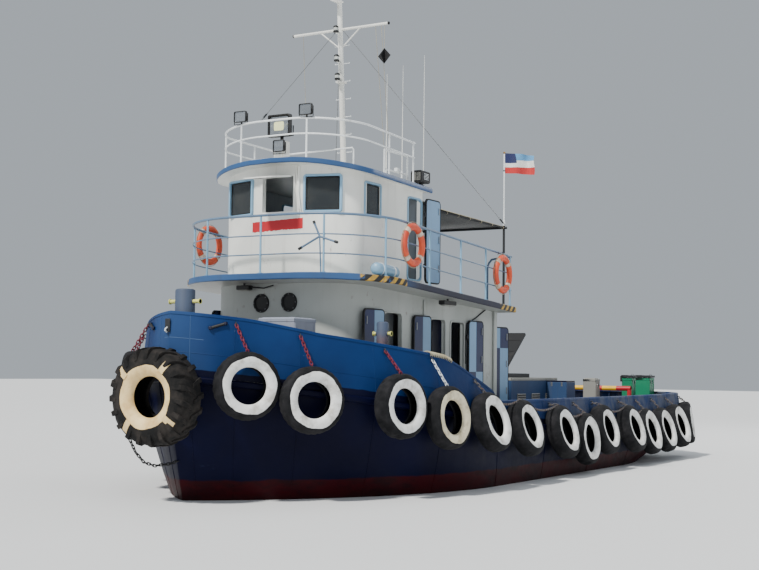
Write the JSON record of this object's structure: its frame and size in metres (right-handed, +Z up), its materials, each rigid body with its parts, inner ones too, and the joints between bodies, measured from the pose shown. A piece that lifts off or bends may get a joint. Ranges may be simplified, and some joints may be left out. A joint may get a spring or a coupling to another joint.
{
  "type": "harbour tugboat",
  "caption": "Decked steel harbour tugboat with bulwarks, deckhouse, wheelhouse, mast, rails and tyre fenders.",
  "frame": {"origin": "on the centreline, amidships, at the waterline", "axes": "+X towards the bow, +Y to port, +Z up"},
  "size_m": [17.665, 6.5012, 11.6023],
  "materials": {
    "navy_paint": "weathered gloss",
    "blue_paint": "weathered gloss",
    "white_paint": "weathered gloss",
    "light_blue_paint": "weathered gloss",
    "green_paint": "satin",
    "grey_paint": "satin",
    "red_paint": "satin",
    "dark_steel": "matt",
    "black_plastic": "matt",
    "orange_plastic": "satin",
    "awning_fabric": "matt",
    "flag_fabric": "matt",
    "bronze": "satin",
    "tyre_rubber": "matt"
  },
  "bodies": {
    "boat": {"hull": "navy_paint", "bulwark_bow": "navy_paint", "bulwark_stern": "navy_paint", "bulwark_port": "navy_paint", "bulwark_starboard": "navy_paint", "boat_deck": "blue_paint", "wheelhouse_roof": "blue_paint", "deckhouse_front": "white_paint", "deckhouse_port_fore": "white_paint", "deckhouse_port_middle": "white_paint", "deckhouse_port_aft": "white_paint", "deckhouse_starboard_fore": "white_paint", "deckhouse_starboard_middle": "white_paint", "deckhouse_starboard_aft": "white_paint", "deckhouse_aft": "white_paint", "wheelhouse_front": "white_paint", "wheelhouse_port": "white_paint", "wheelhouse_starboard": "white_paint", "wheelhouse_aft": "white_paint", "boat_deck_rail": "light_blue_paint", "roof_rail": "white_paint", "searchlight": "dark_steel", "loudspeaker": "black_plastic", "mast": "white_paint", "awning_frame": "dark_steel", "awning_cloth": "awning_fabric", "lifebuoy_fore_port": "orange_plastic", "lifebuoy_aft_port": "orange_plastic", "lifebuoy_fore_starboard": "orange_plastic", "lifebuoy_aft_starboard": "orange_plastic", "bow_post": "dark_steel", "bollard_port": "dark_steel", "bollard_starboard": "dark_steel", "foredeck_box": "dark_steel", "engine_casing": "grey_paint", "tool_locker": "grey_paint", "green_locker_fore": "green_paint", "green_locker_aft": "green_paint", "towing_beam": "red_paint", "flagpole": "white_paint", "flag": "flag_fabric", "tyre_fenders_port": "tyre_rubber", "tyre_fenders_starboard": "tyre_rubber", "bow_tyre": "tyre_rubber"},
    "propeller": {"propeller": "bronze"},
    "rudder": {"rudder": "dark_steel"},
    "door_port_fore": {"door_port_fore": "light_blue_paint"},
    "door_port_middle": {"door_port_middle": "light_blue_paint"},
    "door_port_aft": {"door_port_aft": "light_blue_paint"},
    "door_starboard_fore": {"door_starboard_fore": "light_blue_paint"},
    "door_starboard_middle": {"door_starboard_middle": "light_blue_paint"},
    "door_starboard_aft": {"door_starboard_aft": "light_blue_paint"},
    "door_deckhouse_aft": {"door_deckhouse_aft": "light_blue_paint"},
    "door_port_wheelhouse": {"door_port_wheelhouse": "light_blue_paint"},
    "door_starboard_wheelhouse": {"door_starboard_wheelhouse": "light_blue_paint"},
    "casing_lid": {"casing_lid": "dark_steel"},
    "locker_lid_fore": {"green_locker_fore_lid": "dark_steel"},
    "locker_lid_aft": {"green_locker_aft_lid": "dark_steel"}
  },
  "joints": [
    {"name": "propeller_turn", "type": "hinge", "parent": "boat", "child": "propeller", "pos_m": [-6.2, 0, -1.4], "axis": [1, 0, 0], "continuous": true},
    {"name": "rudder_turn", "type": "hinge", "parent": "boat", "child": "rudder", "pos_m": [-6.95, 0, -1.4], "axis": [0, 0, 1], "range_deg": [-35, 35]},
    {"name": "door_port_fore_hinge", "type": "hinge", "parent": "boat", "child": "door_port_fore", "pos_m": [4.605, 1.56704, 2.2], "axis": [0, 0, 1], "range_deg": [0, 180]},
    {"name": "door_port_middle_hinge", "type": "hinge", "parent": "boat", "child": "door_port_middle", "pos_m": [3.125, 1.65101, 2.2], "axis": [0, 0, 1], "range_deg": [0, 180]},
    {"name": "door_port_aft_hinge", "type": "hinge", "parent": "boat", "child": "door_port_aft", "pos_m": [1.865, 1.7225, 2.2], "axis": [0, 0, -1], "range_deg": [0, 180]},
    {"name": "door_starboard_fore_hinge", "type": "hinge", "parent": "boat", "child": "door_starboard_fore", "pos_m": [4.605, -1.56704, 2.2], "axis": [0, 0, -1], "range_deg": [0, 180]},
    {"name": "door_starboard_middle_hinge", "type": "hinge", "parent": "boat", "child": "door_starboard_middle", "pos_m": [3.125, -1.65101, 2.2], "axis": [0, 0, -1], "range_deg": [0, 180]},
    {"name": "door_starboard_aft_hinge", "type": "hinge", "parent": "boat", "child": "door_starboard_aft", "pos_m": [1.865, -1.7225, 2.2], "axis": [0, 0, 1], "range_deg": [0, 180]},
    {"name": "door_deckhouse_aft_hinge", "type": "hinge", "parent": "boat", "child": "door_deckhouse_aft", "pos_m": [0.588, 1.565, 2.1], "axis": [0, 0, 1], "range_deg": [-70, 98]},
    {"name": "door_port_wheelhouse_hinge", "type": "hinge", "parent": "boat", "child": "door_port_wheelhouse", "pos_m": [2.955, 1.402, 4.285], "axis": [0, 0, -1], "range_deg": [0, 180]},
    {"name": "door_starboard_wheelhouse_hinge", "type": "hinge", "parent": "boat", "child": "door_starboard_wheelhouse", "pos_m": [2.955, -1.402, 4.285], "axis": [0, 0, 1], "range_deg": [0, 180]},
    {"name": "casing_lid_hinge", "type": "hinge", "parent": "boat", "child": "casing_lid", "pos_m": [-2.01, 0, 1.96], "axis": [0, 1, 0], "range_deg": [-38, 57]},
    {"name": "locker_lid_fore_hinge", "type": "hinge", "parent": "boat", "child": "locker_lid_fore", "pos_m": [-6.625, 1.624, 1.88], "axis": [1, 0, 0], "range_deg": [0, 100]},
    {"name": "locker_lid_aft_hinge", "type": "hinge", "parent": "boat", "child": "locker_lid_aft", "pos_m": [-8.025, 1.474, 1.88], "axis": [1, 0, 0], "range_deg": [0, 100]}
  ]
}
